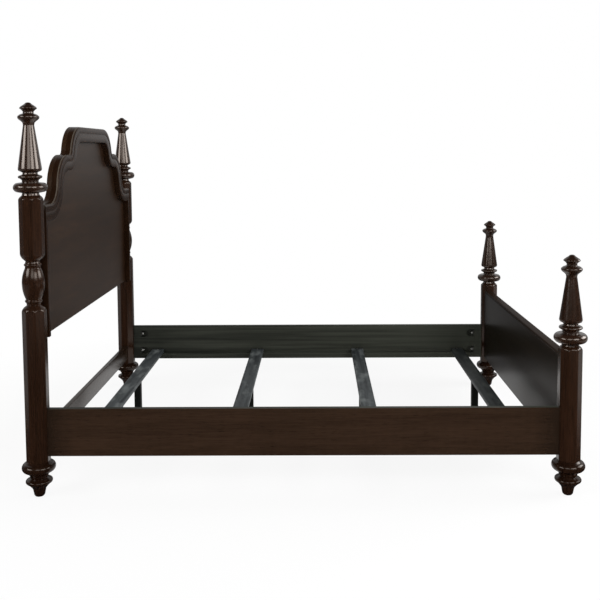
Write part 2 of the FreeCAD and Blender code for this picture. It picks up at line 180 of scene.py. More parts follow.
def stretched_noise(tree, grain, shift, across, along, detail, twist=0.0):
    """Noise drawn out along the grain: cells per metre across it and along it."""
    scale = [across] * 3
    scale[grain] = along
    place = wired(tree, "TexCoord").outputs["Object"]
    lay = wired(tree, "Mapping", {"Vector": place, "Location": [shift] * 3, "Scale": scale})
    noise = wired(tree, "TexNoise", {"Vector": lay.outputs[0], "Scale": 1.0, "Detail": detail,
                                     "Distortion": twist})
    return noise.outputs["Fac"]


# Stretches of a noise's values that are spread over a whole change
streak_span = (0.34, 0.68)
patch_span = (0.35, 0.7)
pore_span = (0.60, 0.72)
wiped_span = (0.50, 0.72)
gloss_span = (0.3, 0.7)


def ranged(tree, value, low, high, to_low, to_high):
    """A value carried from one range to another and held at its ends."""
    return wired(tree, "MapRange", {"Value": value, "From Min": low, "From Max": high,
                                    "To Min": to_low, "To Max": to_high}).outputs[0]


def new_material(name):
    """An empty node material, its tree, and its Principled shader wired to the output."""
    material = bpy.data.materials.new(name)
    material.use_nodes = True
    tree = material.node_tree
    return material, tree, tree.nodes["Principled BSDF"]


figure_share, fibre_share, cloud_share, pore_share = 0.45, 0.60, 0.45, 0.6
pore_darkness = 0.35
smoother, rougher = 0.003, 0.005
warm_tint = (1.0, 0.88, 0.79, 1)


def espresso_wood(name, grain, shift, dark, light, gloss, reflect, tint=warm_tint):
    """Espresso stain under lacquer: broad figure and fine fibres along the grain, open pores, and
    cloudy stain. The lacquer's roughness follows the fibres."""
    material, tree, shader = new_material(name)
    figure = stretched_noise(tree, grain, shift, across=22.0, along=1.1, detail=3.0, twist=0.6)
    fibre = stretched_noise(tree, grain, shift, across=190.0, along=8.0, detail=3.0)
    pores = stretched_noise(tree, grain, shift, across=1100.0, along=24.0, detail=1.0)
    cloud = stretched_noise(tree, grain, shift, across=3.0, along=2.0, detail=2.0)
    streak = wired(tree, "Math", {0: ranged(tree, figure, *streak_span, 0.0, figure_share),
                                  1: ranged(tree, fibre, *streak_span, 0.0, fibre_share)},
                   operation="ADD")
    stain = blended(tree, streak.outputs[0], dark, light)
    shade = blended(tree, ranged(tree, cloud, *patch_span, 0.0, cloud_share), stain, dark)
    pore = tuple(pore_darkness * channel for channel in dark[:3]) + (1,)
    colour = blended(tree, ranged(tree, pores, *pore_span, 0.0, pore_share), shade, pore)
    tree.links.new(colour, shader.inputs["Base Color"])
    roughness = ranged(tree, fibre, *gloss_span, gloss - smoother, gloss + rougher)
    tree.links.new(roughness, shader.inputs["Roughness"])
    shader.inputs["Specular IOR Level"].default_value = reflect
    shader.inputs["Specular Tint"].default_value = tint
    return material


turned_wood = espresso_wood("turned_wood", z_axis, shift=0.0, dark=(0.0085, 0.0034, 0.0017, 1),
                            light=(0.0185, 0.0078, 0.0038, 1), gloss=0.18, reflect=0.26)
for end in ends:
    for side in sides:
        node = "%s_turned_foot_%s" % (end, side)
        low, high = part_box(node)
        outline = outline_between(foot_shares, low.z, high.z, foot_radius)
        rows = turned_rows(*turned_outline(outline, sanding), (low + high) / 2)
        skinned("foot_%s_%s" % (end, side), [rows], turned_wood, [node])

# Glides: hard plastic discs nailed under the turned feet, so that the bed slides without marking
# the floor.
glide_radius = 0.017
glide_round = 0.0012
glide_bulge = 0.2
glide_softness = 0.0003


def mottled(name, grain, across, along, detail, dark, light, smooth, rough,
            shift=0.0, metal=0.0, sheen=0.5):
    """A material whose colour and roughness follow one noise."""
    material, tree, shader = new_material(name)
    mottle = stretched_noise(tree, grain, shift, across, along, detail)
    tree.links.new(blended(tree, mottle, dark, light), shader.inputs["Base Color"])
    tree.links.new(ranged(tree, mottle, *gloss_span, smooth, rough), shader.inputs["Roughness"])
    shader.inputs["Metallic"].default_value = metal
    shader.inputs["Specular IOR Level"].default_value = sheen
    return material


glide_plastic = mottled("glide_plastic", z_axis, across=700.0, along=700.0, detail=2.0,
                        dark=(0.010, 0.010, 0.011, 1), light=(0.028, 0.027, 0.027, 1),
                        smooth=0.38, rough=0.55)
low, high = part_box("foot_glides")
outline = [(low.z, glide_radius - glide_round, 0), (low.z + glide_round, glide_radius, glide_bulge),
           (high.z, glide_radius, 0)]
radii, heights = turned_outline(outline, glide_softness)
foot_boxes = [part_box("%s_turned_foot_%s" % (end, side)) for end in ends for side in sides]
foot_places = [(low + high) / 2 for low, high in foot_boxes]
skinned("glides", [turned_rows(radii, heights, place) for place in foot_places], glide_plastic,
        ["foot_glides"])

# Posts: octagonal blocks planed from laminated hardwood. Each block's end is turned to a shoulder,
# and the head posts have a vase turned between their two blocks. Mortises take the boards' tenons.
post_width = 0.090
post_sides = 8
arris_power = 90
join_power = 160
facet_points = 11
blank_radius = 0.0507
shoulder_shares = np.array(((0.0, 0.0, 0.0), (0.69, 0.46, 0.06), (1.0, 1.0, 0.0)))
neck_radius = 0.02823
top_radius = 0.035
shoulder_rise = 0.024
lower_block_top = 0.763
upper_block_bottom = 1.012
spindle_bottom = 0.795
spindle_top = 0.974
vase_radius = 0.0446
spindle_shares = (
    (0.000, 0.633, 0.0),
    (0.059, 0.664, 0.0),
    (0.123, 0.709, 0.34),
    (0.135, 0.686, 0.0),
    (0.849, 0.697, 0.108),
    (0.890, 0.689, 0.0),
    (0.953, 0.672, 0.38),
    (1.000, 0.633, 0.0),
)
facet_angles = np.arange(post_sides) * 2 * np.pi / post_sides
facet_steps = np.sin(np.linspace(-1, 1, facet_points)[:-1] * np.pi / 2) * np.pi / post_sides
post_angles = (facet_angles[:, None] + facet_steps).ravel()


def shoulder(edge, neck, radius):
    """Turned shoulder from a block's corners at height edge to a neck of that radius."""
    rise, inward, bulge = shoulder_shares.T
    radii = blank_radius - (blank_radius - radius) * inward
    return list(zip(edge + (neck - edge) * rise, radii, bulge))


def turned_over(outline):
    """The same points in the other order. A bulge is kept with the later point of its stretch, so
    each moves on by one."""
    heights, radii, bulges = zip(*outline[::-1])
    return list(zip(heights, radii, (0.0,) + bulges[:-1]))


def post_rows(outline, turned_range, place):
    """Loops of a post: at each angle and height the smaller of the octagon's reach and the turned
    outline's radius, both taken as power sums, which leaves the arrises slightly round."""
    radii, heights = turned_outline(outline, sanding)
    spread = np.maximum(np.cos(post_angles[:, None] - facet_angles), 0)
    octagon = post_width / 2 / np.sum(spread ** arris_power, axis=1) ** (1 / arris_power)
    both = (octagon ** -join_power + radii[:, None] ** -join_power) ** (-1 / join_power)
    turned = (heights > turned_range[0]) & (heights < turned_range[1])
    return turned_rows(np.where(turned[:, None], radii[:, None], both), heights, place, post_angles)


post_wood = espresso_wood("post_wood", z_axis, shift=3.7, dark=(0.0105, 0.0044, 0.0021, 1),
                          light=(0.0270, 0.0110, 0.0053, 1), gloss=0.18, reflect=0.30)
for end in ends:
    for side in sides:
        node = "%s_post_%s" % (end, side)
        low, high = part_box(node)
        outline = [(low.z, blank_radius, 0.0)]
        if end == "head":
            vase = outline_between(spindle_shares, spindle_bottom, spindle_top, vase_radius)
            outline += shoulder(lower_block_top, spindle_bottom, neck_radius) + vase[1:-1]
            outline += turned_over(shoulder(upper_block_bottom, spindle_top, neck_radius))
        outline += shoulder(high.z - shoulder_rise, high.z, top_radius)
        rows = post_rows(outline, (spindle_bottom, spindle_top), (low + high) / 2)
        skinned("post_%s_%s" % (end, side), [rows], post_wood, [node])

# Finials: one turned blank on each post, with a big ring, a small ring, a long cone, a collar and a
# pointed knob, stained and lacquered. A dowel screw joins each to its post.
finial_shares = (
    (0.000, 0.520, 0.0),
    (0.024, 0.485, 0.0),
    (0.036, 0.797, 0.0),
    (0.134, 0.797, 0.37),
    (0.142, 0.482, 0.0),
    (0.164, 0.482, 0.0),
    (0.182, 0.608, 0.0),
    (0.214, 0.628, 0.45),
    (0.226, 0.450, 0.0),
    (0.244, 0.425, 0.0),
    (0.265, 0.655, 0.0),
    (0.284, 0.693, 0.0),
    (0.752, 0.323, 0.0),
    (0.778, 0.345, 0.0),
    (0.796, 0.440, 0.0),
    (0.812, 0.560, 0.0),
    (0.824, 0.612, 0.0),
    (0.836, 0.628, 0.10),
    (0.850, 0.608, 0.10),
    (0.866, 0.500, 0.0),
    (0.878, 0.315, 0.0),
    (0.898, 0.312, 0.0),
    (0.911, 0.370, 0.0),
    (0.924, 0.462, 0.0),
    (0.943, 0.470, 0.34),
    (0.952, 0.425, 0.0),
    (0.9785, 0.205, 0.0),
    (0.995, 0.003, 0.14),
)
finial_radius = 0.067
finial_sanding = 0.0018
finial_wood = espresso_wood("finial_wood", z_axis, shift=8.1, dark=(0.0100, 0.0041, 0.0020, 1),
                            light=(0.0240, 0.0098, 0.0047, 1), gloss=0.19, reflect=0.60)
for end in ends:
    for side in sides:
        node = "%s_finial_%s" % (end, side)
        low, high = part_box(node)
        outline = outline_between(finial_shares, low.z, high.z, finial_radius)
        rows = turned_rows(*turned_outline(outline, finial_sanding), (low + high) / 2)
        skinned("finial_%s_%s" % (end, side), [rows], finial_wood, [node])

# Headboard panel: veneered board whose top edge is sawn to the arch. It stands between the head
# posts on tenons, and its back shows.
arch_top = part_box("headboard_arch_moulding")[1].z
arch_half_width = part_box("footboard_cap")[1].y
arch_steps = (
    # half width of the level top, top height, cove radius, ledge height
    (0.215, arch_top, 0.030, 1.400),
    (0.420, 1.400, 0.090, 1.198),
)
lobe_radius = 0.150
lobe_points = 26
cove_points = 18
panel_ease = 0.0015


def arch_path():
    """The arch from left to right as points (y, z) and their inward normals.

    Each side falls from the level top in two steps. A step is a round lobe, then a cove tangent to
    it, then a ledge, and the normal points to a lobe's centre and away from a cove's.
    """
    points, normals = [np.array([[0.0, arch_top]])], [np.array([[0.0, -1.0]])]
    for reach, top, cove_radius, ledge in arch_steps:
        lobe = np.array([reach, top - lobe_radius])
        apart = lobe_radius + cove_radius
        slope = math.asin((ledge + cove_radius - lobe[1]) / apart)
        cove = np.array([reach + apart * math.cos(slope), ledge + cove_radius])
        fall = np.linspace(math.pi / 2, slope, lobe_points)[:, None]
        rise = np.linspace(math.pi + slope, math.pi * 1.5, cove_points)[1:, None]
        spoke = np.concatenate([np.cos(fall), np.sin(fall)], axis=1)
        hollow = np.concatenate([np.cos(rise), np.sin(rise)], axis=1)
        points += [lobe + lobe_radius * spoke, cove + cove_radius * hollow]
        normals += [-spoke, hollow]
    points.append(np.array([[arch_half_width, arch_steps[-1][3]]]))
    normals.append(np.array([[0.0, -1.0]]))
    points, normals = np.concatenate(points), np.concatenate(normals)
    mirror = np.array([-1.0, 1.0])
    return [np.concatenate([half[:0:-1] * mirror, half]) for half in (points, normals)]


def along_arch(depth_x, inset, points, normals):
    """Loops of a section carried along the arch: each of its points moves in by inset and lies at
    depth_x."""
    yz = points[:, None] + np.asarray(inset)[:, None] * normals[:, None]
    x = np.broadcast_to(depth_x, yz.shape[:2])
    return np.concatenate([x[..., None], yz], axis=-1)


panel_wood = espresso_wood("panel_veneer", y_axis, shift=1.3, dark=(0.0138, 0.0063, 0.0029, 1),
                           light=(0.0320, 0.0150, 0.0070, 1), gloss=0.38, reflect=0.2,
                           tint=(0.97, 0.84, 0.70, 1))
low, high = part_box("headboard_panel")
arch_points, arch_normals = arch_path()
eased_x = (low.x, low.x + panel_ease, high.x - panel_ease, high.x)
eased_inset = np.array((panel_ease, 0, 0, panel_ease))
top_rows = along_arch(eased_x, eased_inset, arch_points, arch_normals)
bottom_rows = top_rows[:, ::-1].copy()
bottom_rows[..., 1] = arch_points[:, None, 0]
bottom_rows[..., 2] = low.z + eased_inset
skinned("headboard_panel_veneered", [np.concatenate([top_rows, bottom_rows], axis=1)], panel_wood,
        ["headboard_panel"])

# Arched moulding: solid wood bent over the panel's front edge: a rim with a rounded outer edge, a
# small quirk and a flat fascia. It is glued and pinned from behind, and a paler colour is painted
# along its outer arris as a painted highlight.
low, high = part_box("headboard_arch_moulding")
rim_round = 0.0095
rim_width = 0.0285
quirk_width = 0.0035
quirk_depth = 0.0012
moulding_width = 0.070
moulding_ease = 0.0010
# Painted highlight: the nose's colour pales between these angles of its round.
highlight_angles = np.radians((0, 8, 28, 40))
highlight_shares = (0, 1, 1, 0)
painted_highlight_colour = (0.078, 0.064, 0.051, 1)
nose_points = 12
ease_points = 4
nose_swing = np.linspace(0, np.pi / 2, nose_points)
ease_swing = np.linspace(0, np.pi / 2, ease_points)
quirk_end = rim_width + quirk_width
section_inset = np.concatenate([
    [0], rim_round * (1 - np.cos(nose_swing)),
    rim_width - moulding_ease * (1 - np.sin(ease_swing)), [rim_width, quirk_end],
    quirk_end + moulding_ease * (1 - np.cos(ease_swing)),
    moulding_width - moulding_ease * (1 - np.sin(ease_swing)), [moulding_width]])
section_x = np.concatenate([
    [low.x], high.x - rim_round * (1 - np.sin(nose_swing)),
    high.x - moulding_ease * (1 - np.cos(ease_swing)), [high.x - quirk_depth] * 2,
    high.x - moulding_ease * (1 - np.sin(ease_swing)),
    high.x - moulding_ease * (1 - np.cos(ease_swing)), [low.x]])
moulding_wood = espresso_wood("moulding_wood", y_axis, shift=5.9, dark=(0.0110, 0.0048, 0.0022, 1),
                              light=(0.0255, 0.0112, 0.0052, 1), gloss=0.25, reflect=0.085)
tree = moulding_wood.node_tree
shader = tree.nodes["Principled BSDF"]
stain = shader.inputs["Base Color"].links[0].from_socket
# The paler colour painted on the nose stands in for its highlight.
nose_highlight = wired(tree, "Attribute", attribute_name="highlight_share").outputs["Fac"]
tree.links.new(blended(tree, nose_highlight, stain, painted_highlight_colour), shader.inputs["Base Color"])
highlight_share = np.zeros(len(section_x))
highlight_share[1:1 + nose_points] = np.interp(nose_swing, highlight_angles, highlight_shares)
rows = along_arch(section_x, section_inset, arch_points, arch_normals)
moulding = skinned("arch_moulding", [rows], moulding_wood,
                   ["headboard_arch_moulding"])
highlight_attribute = moulding.data.attributes.new("highlight_share", "FLOAT", "POINT")
highlight_attribute.data.foreach_set("value", np.tile(highlight_share, len(arch_points)))

# Stiles: narrow solid strips, stained like the moulding and glued on the panel's front beside the
# posts, under the moulding's ends.
stile_ease = 0.0015
corner_points = 5
end_lifts = np.radians((25, 50, 75, 90))


def eased_board(low, high, ease):
    """Loops of a board with every arris round: a rectangle with quarter-round corners carried along
    the board's length, drawn in near both ends on a quarter round."""
    low, high = np.array(low), np.array(high)
    axis = int(np.argmax(high - low))
    b, c = (axis + 1) % 3, (axis + 2) % 3
    middle, half = (low + high) / 2, (high - low) / 2
    inset = ease * (1 - np.sin(end_lifts))
    back = ease * (1 - np.cos(end_lifts))
    inset = np.concatenate([inset, inset[::-1]])
    place = np.concatenate([low[axis] + back, high[axis] - back[::-1]])
    turn = (np.arange(4)[:, None] * np.pi / 2 + np.linspace(0, np.pi / 2, corner_points)).ravel()
    quarter = np.repeat(np.arange(4) * np.pi / 2 + np.pi / 4, corner_points)
    reach = (ease - inset)[:, None]
    rows = np.empty((len(place), len(turn), 3))
    rows[..., axis] = place[:, None]
    rows[..., b] = middle[b] + (half[b] - ease) * np.sign(np.cos(quarter)) + reach * np.cos(turn)
    rows[..., c] = middle[c] + (half[c] - ease) * np.sign(np.sin(quarter)) + reach * np.sin(turn)
    return rows


for side in sides:
    node = "headboard_stile_%s" % side
    skinned("stile_%s" % side, [eased_board(*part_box(node), stile_ease)], moulding_wood,
            [node])

# Stretcher: plain board, stained and lacquered, tenoned between the head posts level with the
# rails' lower edges.
stretcher_ease = 0.0025
stretcher_wood = espresso_wood("stretcher_wood", y_axis, shift=2.2, dark=(0.010, 0.0055, 0.0030, 1),
                               light=(0.022, 0.0120, 0.0064, 1), gloss=0.26, reflect=0.16)


def between_posts(node):
    """A board's corners without the tenons that go into the posts."""
    low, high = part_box(node)
    low.y, high.y = -arch_half_width, arch_half_width
    return low, high


skinned("stretcher", [eased_board(*between_posts("head_stretcher"), stretcher_ease)],
        stretcher_wood, ["head_stretcher"])

# Footboard: a wide veneered board tenoned between the foot posts, with a solid cap glued along its
# top.
board_ease = 0.0012
cap_ease = 0.004
board_wood = espresso_wood("footboard_veneer", y_axis, shift=6.4, dark=(0.0060, 0.0036, 0.0018, 1),
                           light=(0.0120, 0.0072, 0.0036, 1), gloss=0.32, reflect=0.066)
skinned("footboard", [eased_board(*between_posts("footboard_panel"), board_ease)], board_wood,
        ["footboard_panel"])
cap_wood = espresso_wood("cap_wood", y_axis, shift=7.7, dark=(0.0100, 0.0052, 0.0027, 1),
                         light=(0.0210, 0.0105, 0.0054, 1), gloss=0.45, reflect=0.04)
skinned("footboard_capping", [eased_board(*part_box("footboard_cap"), cap_ease)], cap_wood,
        ["footboard_cap"])

# Side rails: veneered boards with bolt pockets cut in their inner faces. The outside is lacquered
# like the posts, and the inside only has a dark sealer, which dries in streaks.
rail_low, rail_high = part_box("side_rail_right")
sealed_within = rail_high.y - 0.004
seal_blur = 0.0005
# Painted shade: the lacquer is painted darker within this length of each end, where the posts shade
# the rails.
end_shade_length = 0.11
end_shade_share = 0.75
painted_end_shade = (0.0100, 0.0054, 0.0030, 1)
sealer_dark = (0.0122, 0.0137, 0.0112, 1)
sealer_pale = (0.042, 0.0455, 0.036, 1)
sealer_smooth, sealer_rough = 0.42, 0.6
sealer_sheen = 0.1
lacquer_sheen = 0.45
wiped_share = 0.7
# Painted light: the sealer is painted paler towards the foot end, where more light falls.
head_light_share, foot_light_share = -0.25, 0.80
rail_wood = espresso_wood("rail_wood", x_axis, shift=4.5, dark=(0.0200, 0.0103, 0.0055, 1),
                          light=(0.0375, 0.0198, 0.0111, 1), gloss=0.20, reflect=lacquer_sheen)
tree = rail_wood.node_tree
shader = tree.nodes["Principled BSDF"]
lacquer = shader.inputs["Base Color"].links[0].from_socket
lacquer_gloss = shader.inputs["Roughness"].links[0].from_socket
spot = wired(tree, "SeparateXYZ", {0: wired(tree, "TexCoord").outputs["Object"]}).outputs
across = wired(tree, "Math", {0: spot["Y"]}, operation="ABSOLUTE").outputs[0]
outside = ranged(tree, across, sealed_within - seal_blur, sealed_within + seal_blur, 0.0, 1.0)
wipe = stretched_noise(tree, x_axis, 2.0, across=60.0, along=1.6, detail=3.0, twist=0.4)
painted_light_towards_foot = ranged(tree, spot["X"], rail_low.x, rail_high.x, head_light_share, foot_light_share)
# Real wiped streaks plus the painted light towards the foot.
wiped_and_lit = wired(tree, "Math", {0: ranged(tree, wipe, *patch_span, 0.0, wiped_share),
                               1: painted_light_towards_foot}, operation="ADD")
sealer = blended(tree, wiped_and_lit.outputs[0], sealer_dark, sealer_pale)
from_middle = wired(tree, "Math", {0: spot["X"]}, operation="ABSOLUTE").outputs[0]
# Painted shade near the posts, darkening the lacquer towards both ends.
end_shade = ranged(tree, from_middle, rail_high.x - end_shade_length, rail_high.x, 0.0, end_shade_share)
lacquer = blended(tree, end_shade, lacquer, painted_end_shade)
tree.links.new(blended(tree, outside, sealer, lacquer), shader.inputs["Base Color"])
sealer_gloss = ranged(tree, wipe, *gloss_span, sealer_smooth, sealer_rough)
gloss = wired(tree, "Mix", {0: outside, 2: sealer_gloss, 3: lacquer_gloss})
tree.links.new(gloss.outputs[0], shader.inputs["Roughness"])
sheen = wired(tree, "Mix", {0: outside, 2: sealer_sheen, 3: lacquer_sheen})
tree.links.new(sheen.outputs[0], shader.inputs["Specular IOR Level"])


def coat(node, material):
    """Gives a carried-over mesh its material."""
    for holder in nodes[node].material_slots:
        holder.material = material


for side in sides:
    coat("side_rail_%s" % side, rail_wood)

# Ledgers: strips glued inside the rails, sealed like the rails' inner faces. They carry the slats'
# ends.
ledger_ease = 0.0015
for side in sides:
    node = "slat_ledger_%s" % side
    skinned("ledger_%s" % side, [eased_board(*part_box(node), ledger_ease)], rail_wood,
            [node])

# Rail bolts and nuts: zinc plated steel. Hanger bolts in the posts come out through the rails' ends
# into the pockets, where a plate and a nut pull each rail up to its post.
zinc = mottled("zinc_steel", x_axis, across=260.0, along=260.0, detail=3.0,
               dark=(0.50, 0.50, 0.49, 1), light=(0.76, 0.75, 0.72, 1),
               smooth=0.22, rough=0.36, metal=1.0)
nut_low, nut_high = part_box("rail_nuts")
bolt_low, bolt_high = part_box("rail_bolts")
nut_flat = 0.014
nut_thickness = 0.008
nut_corner = nut_flat / 2 / math.cos(math.pi / 6)
nut_bevels = np.array((0.0, 0.0004, 0.0008, 0.0013))
nut_face_inset = 0.0002
nut_crease = 25.0
bolt_radius = 0.004
bolt_past_nut = 0.004
bolt_columns = 32
thread_length = 0.016
thread_steps = 78
thread_pitch = 0.00125
thread_depth = 0.0004
bolt_places = [(sign * (nut_high.y - nut_corner), z) for sign in (-1, 1)
               for z in (nut_low.z + nut_flat / 2, nut_high.z - nut_flat / 2)]


def lying_rows(radii, lengths, place, angles):
    """Loops of a turned piece that lies along X, through place (y, z)."""
    return np.roll(turned_rows(radii, lengths, place, angles), 1, axis=-1)


def nut_rows(start, end, place):
    """Loops of a nut: at each angle the smaller of the hexagon's reach and of a cone that takes the
    corners off at both ends."""
    angles = np.linspace(0, 2 * np.pi, turned_columns, endpoint=False)
    flats = np.pi / 6 + np.arange(6) * np.pi / 3
    hexagon = nut_flat / 2 / np.max(np.cos(angles[:, None] - flats), axis=1)
    lengths = np.concatenate([start + nut_bevels, end - nut_bevels[::-1]])
    cone = nut_flat / 2 - nut_face_inset + np.concatenate([nut_bevels, nut_bevels[::-1]])
    return lying_rows(np.minimum(hexagon, cone[:, None]), lengths, place, angles)


def bolt_rows(buried, end, place):
    """Loops of a hanger bolt: a plain shank from its buried end, then a thread whose radius falls
    and rises once a turn, with a phase that runs along the bolt."""
    angles = np.linspace(0, 2 * np.pi, bolt_columns, endpoint=False)
    turns = np.linspace(thread_length, 0, thread_steps)
    lengths = np.concatenate([[buried], end - math.copysign(1, end - buried) * turns])
    wave = 0.5 - 0.5 * np.cos(2 * np.pi * lengths[:, None] / thread_pitch - angles)
    wave[0] = 1.0
    order = np.argsort(lengths)
    return lying_rows(bolt_radius - thread_depth * wave[order], lengths[order], place, angles)


nut_solids, bolt_solids = [], []
for place in bolt_places:
    nut_solids += [nut_rows(nut_low.x, nut_low.x + nut_thickness, place),
                   nut_rows(nut_high.x - nut_thickness, nut_high.x, place)]
    bolt_solids += [bolt_rows(bolt_low.x, nut_low.x + nut_thickness + bolt_past_nut, place),
                    bolt_rows(bolt_high.x, nut_high.x - nut_thickness - bolt_past_nut, place)]
skinned("nuts", nut_solids, zinc, ["rail_nuts"], crease=nut_crease)
skinned("bolts", bolt_solids, zinc, ["rail_bolts"])
for node in ("foot_hanger_bolts", "finial_screws"):
    coat(node, zinc)

# Plate washers: small steel plates, stamped and blacked, between each nut and the pocket's flat
# wall. The bolt goes through them.
washer_thickness = 0.003
washer_ease = 0.0005
plate_black = mottled("plate_black", x_axis, across=420.0, along=420.0, detail=2.0,
                      dark=(0.010, 0.010, 0.009, 1), light=(0.030, 0.029, 0.026, 1),
                      smooth=0.45, rough=0.6)
washer_low, washer_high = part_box("rail_washers")
half_y, half_z = washer_high.y - bolt_places[-1][0], washer_high.z - bolt_places[-1][1]
washer_solids = []
for y, z in bolt_places:
    for start in (washer_low.x, washer_high.x - washer_thickness):
        low = (start, y - half_y, z - half_z)
        high = (start + washer_thickness, y + half_y, z + half_z)
        washer_solids.append(eased_board(low, high, washer_ease))
skinned("plates", washer_solids, plate_black, ["rail_washers"])

# Slats: softwood strips dipped in thin blue-black paint, laid across the ledgers and screwed down.
# The last one is coloured darker.
slat_ease = 0.002
slat_numbers = range(1, 5)
slat_sheen = 0.11
paint_smooth, paint_rough = 0.42, 0.58
paint_wiped = 0.9
brush_strength, brush_depth = 0.15, 0.0005


def slat_paint(name, shift, dark, light, wiped):
    """Thin blue-black paint: brush streaks along the slat, and patches where it was wiped paler."""
    material, tree, shader = new_material(name)
    streak = stretched_noise(tree, y_axis, shift, across=70.0, along=2.0, detail=3.0, twist=0.3)
    patch = stretched_noise(tree, y_axis, shift, across=26.0, along=9.0, detail=3.0)
    paint = blended(tree, ranged(tree, streak, *patch_span, 0.0, 1.0), dark, light)
    paint = blended(tree, ranged(tree, patch, *wiped_span, 0.0, paint_wiped), paint, wiped)
    tree.links.new(paint, shader.inputs["Base Color"])
    roughness = ranged(tree, patch, *gloss_span, paint_smooth, paint_rough)
    tree.links.new(roughness, shader.inputs["Roughness"])
    shader.inputs["Specular IOR Level"].default_value = slat_sheen
    bump = wired(tree, "Bump", {"Height": streak, "Strength": brush_strength,
                                "Distance": brush_depth})
    tree.links.new(bump.outputs[0], shader.inputs["Normal"])
    return material


pale_paint = slat_paint("slat_paint", shift=0.7, dark=(0.0178, 0.0210, 0.0228, 1),
                        light=(0.053, 0.060, 0.0625, 1), wiped=(0.135, 0.147, 0.146, 1))
darker_slat_colour = slat_paint("slat_paint_dark", shift=2.9, dark=(0.0142, 0.0166, 0.0166, 1),
                        light=(0.0340, 0.0390, 0.0382, 1), wiped=(0.060, 0.0655, 0.0615, 1))
for number in slat_numbers:
    node = "slat_%d" % number
    skinned("slat_board_%d" % number, [eased_board(*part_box(node), slat_ease)],
            darker_slat_colour if number == slat_numbers[-1] else pale_paint, [node])

# Slat screws: countersunk cross-head screws, zinc plated. One holds each slat's end to its ledger,
# and one goes down into each leg, where the slat's paint covers it.
head_radius = 0.0045
head_proud = 0.0006
head_rings = 22
head_centre = 0.00005
dome_fall_share = 0.7
recess_depth = 0.0016
recess_half_width = 0.0006
recess_reach = 0.0028


def cross_head(x, y, z):
    """Loops of a screw's head: a low dome, sunk where a cross with two equal arms lies over it."""
    angles = np.linspace(0, 2 * np.pi, turned_columns, endpoint=False)
    inward = np.linspace(head_radius, head_centre, head_rings)[1:]
    radii = np.concatenate([[head_radius] * 2, inward])[:, None]
    out_x, out_y = radii * np.cos(angles), radii * np.sin(angles)
    short, long = np.sort(np.abs([out_x, out_y]), axis=0)
    in_arm = (short < recess_half_width) & (long < recess_reach)
    dome = head_proud * (1 - dome_fall_share * (radii / head_radius) ** 2) - recess_depth * in_arm
    dome[0] = -head_radius / 2
    return np.stack([x + out_x, y + out_y, z + dome], axis=-1)


slat_boxes = [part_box("slat_%d" % number) for number in slat_numbers]
slat_middles = [(low.x + high.x) / 2 for low, high in slat_boxes]
slat_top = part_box("slat_1")[1].z
for node, finish in (("slat_screws", zinc), ("leg_screws", pale_paint)):
    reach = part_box(node)[1].y - head_radius
    heads = [cross_head(x, y, slat_top) for x in slat_middles for y in (-reach, reach)]
    skinned(node.replace("screws", "screw_heads"), heads, finish, [node])

# Slat legs and levellers: square black-painted legs under the slats, each with a leveller screwed
# into its end.
leg_ease = 0.002
leveller_height = 0.007
leveller_radius = 0.015
leveller_round = 0.003
leveller_round_rise = 0.002
leveller_bulge = 0.2
leveller_softness = 0.0004
stud_radius = 0.004
stud_bevel = 0.001
leg_paint = mottled("leg_paint", z_axis, across=120.0, along=4.0, detail=3.0,
                    dark=(0.0028, 0.0031, 0.0026, 1), light=(0.0066, 0.0070, 0.0060, 1),
                    smooth=0.45, rough=0.6, shift=1.9, sheen=0.05)
for number in slat_numbers:
    for side in sides:
        node = "slat_leg_%d_%s" % (number, side)
        skinned("leg_%d_%s" % (number, side), [eased_board(*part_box(node), leg_ease)], leg_paint,
                [node])
        node = "leg_leveller_%d_%s" % (number, side)
        low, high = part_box(node)
        foot_top = low.z + leveller_height
        outline = [(low.z, leveller_radius - leveller_round, 0),
                   (low.z + leveller_round_rise, leveller_radius, leveller_bulge),
                   (foot_top - stud_bevel, leveller_radius, 0), (foot_top, stud_radius, 0),
                   (high.z - stud_bevel, stud_radius, 0), (high.z, stud_radius - stud_bevel, 0)]
        rows = turned_rows(*turned_outline(outline, leveller_softness), (low + high) / 2)
        skinned("leveller_foot_%d_%s" % (number, side), [rows], glide_plastic,
                [node], body="leveller_%d_%s" % (number, side))

# Floor: plain white studio floor that fades to plain white round the bed and keeps its shadow.
floor_half = 14.0
floor_z = -0.0004
fade_start, fade_end = 1.2, 2.6
shadow_share = 0.12
floor_white = (0.88, 0.88, 0.88, 1)
floor_roughness = 0.9
plain_white = (1, 1, 1, 1)
corner_signs = np.array(((-1, -1), (1, -1), (1, 1), (-1, 1)))


def level_points(places, z):
    """Points (x, y) laid at one height."""
    return np.column_stack([places, np.full(len(places), z)]).tolist()


def larger(tree, first, second):
    """The larger of two values."""
    return wired(tree, "Math", {0: first, 1: second}, operation="MAXIMUM").outputs[0]


def background_seen(tree):
    """1 for the rays that see the background itself, straight, through glass or mirrored, and 0 for
    others."""
    rays = wired(tree, "LightPath").outputs
    seen = larger(tree, rays["Is Camera Ray"], rays["Is Transmission Ray"])
    return larger(tree, seen, rays["Is Glossy Ray"])


